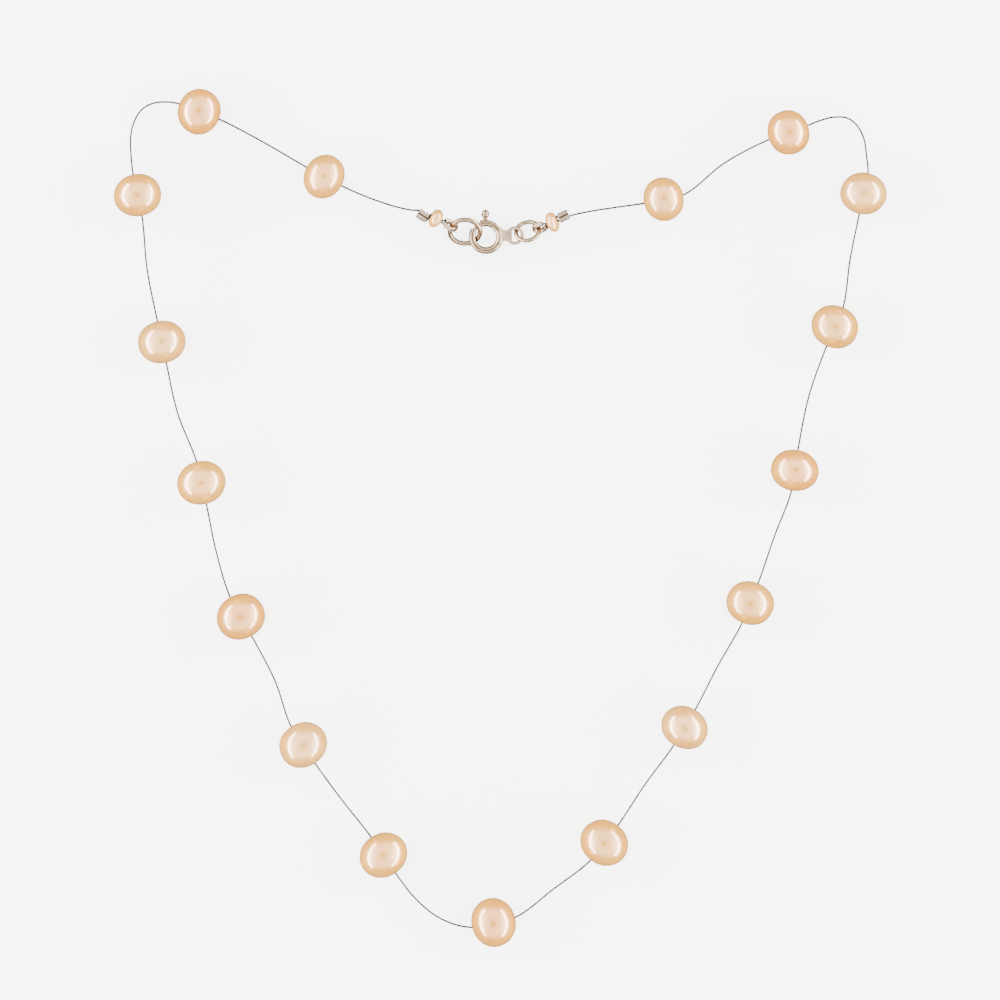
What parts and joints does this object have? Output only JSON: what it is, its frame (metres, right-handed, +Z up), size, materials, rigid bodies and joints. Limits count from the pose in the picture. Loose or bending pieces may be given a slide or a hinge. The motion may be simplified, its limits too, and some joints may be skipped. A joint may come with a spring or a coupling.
{
  "type": "pearl necklace",
  "caption": "Station necklace: drilled freshwater pearls spaced along a fine steel beading wire, closed at the back by a spring-ring clasp hooked into a jump ring.",
  "frame": {"origin": "middle of the laid-out necklace's outline, on the surface it lies on", "axes": "+Z up off the surface, +Y towards the clasp, +X towards the clasp's tail side"},
  "size_m": [0.1366, 0.1518, 0.0088],
  "materials": {
    "pearl": "freshwater nacre with a high lustre, peach with a pale pink sheen",
    "beading_wire": "fine twisted steel under a clear nylon coat, grey satin",
    "crimp": "polished and plated, warm silver, flattened",
    "wire_guard": "polished and plated, warm silver",
    "jump_ring": "polished and plated, warm silver",
    "clasp": "polished and plated, warm silver",
    "clasp_spring": "bright drawn spring wire"
  },
  "bodies": {
    "strand": {"beading_wire": "beading_wire", "pearl_01": "pearl", "pearl_02": "pearl", "pearl_03": "pearl", "pearl_04": "pearl", "pearl_05": "pearl", "pearl_06": "pearl", "pearl_07": "pearl", "pearl_08": "pearl", "pearl_09": "pearl", "pearl_10": "pearl", "pearl_11": "pearl", "pearl_12": "pearl", "pearl_13": "pearl", "pearl_14": "pearl", "pearl_15": "pearl", "pearl_16": "pearl", "pearl_17": "pearl", "crimp_tube_left": "crimp", "crimp_tube_right": "crimp", "wire_guard_left": "wire_guard", "wire_guard_right": "wire_guard"},
    "left_end_pearl": {"end_pearl_left": "pearl"},
    "right_end_pearl": {"end_pearl_right": "pearl"},
    "clasp": {"clasp_tube": "clasp", "clasp_tail": "clasp", "clasp_spring": "clasp_spring"},
    "left_jump_ring": {"jump_ring_left": "jump_ring"},
    "right_jump_ring": {"jump_ring_right": "jump_ring"},
    "bolt": {"clasp_bolt": "clasp", "clasp_knob": "clasp"}
  },
  "joints": [
    {"name": "left_end_pearl_spin", "type": "hinge", "parent": "strand", "child": "left_end_pearl", "pos_m": [-0.01162, 0.0532, 0.00361], "axis": [0.8851, -0.4317, -0.1736], "continuous": true},
    {"name": "right_end_pearl_spin", "type": "hinge", "parent": "strand", "child": "right_end_pearl", "pos_m": [0.00901, 0.05261, 0.00298], "axis": [-0.9004, -0.3822, -0.2079], "continuous": true},
    {"name": "clasp_roll", "type": "hinge", "parent": "strand", "child": "clasp", "pos_m": [-0.00884, 0.05187, 0.00298], "axis": [0.9975, -0.0171, -0.0683], "range_deg": [-10, 15]},
    {"name": "left_jump_ring_turn", "type": "hinge", "parent": "clasp", "child": "left_jump_ring", "pos_m": [-0.00647, 0.0509, 0.00219], "axis": [-0.0113, -0.6493, 0.7604], "continuous": true},
    {"name": "right_jump_ring_turn", "type": "hinge", "parent": "clasp", "child": "right_jump_ring", "pos_m": [0.00464, 0.05099, 0.00192], "axis": [-0.18, 0.5888, 0.788], "continuous": true},
    {"name": "bolt_slide_back", "type": "hinge", "parent": "clasp", "child": "bolt", "pos_m": [-0.00274, 0.05, 0.00195], "axis": [0, 0, -1], "range_deg": [0, 46], "stiffness_Nm_per_rad": 0.0005, "deforming": ["clasp_spring"]}
  ]
}
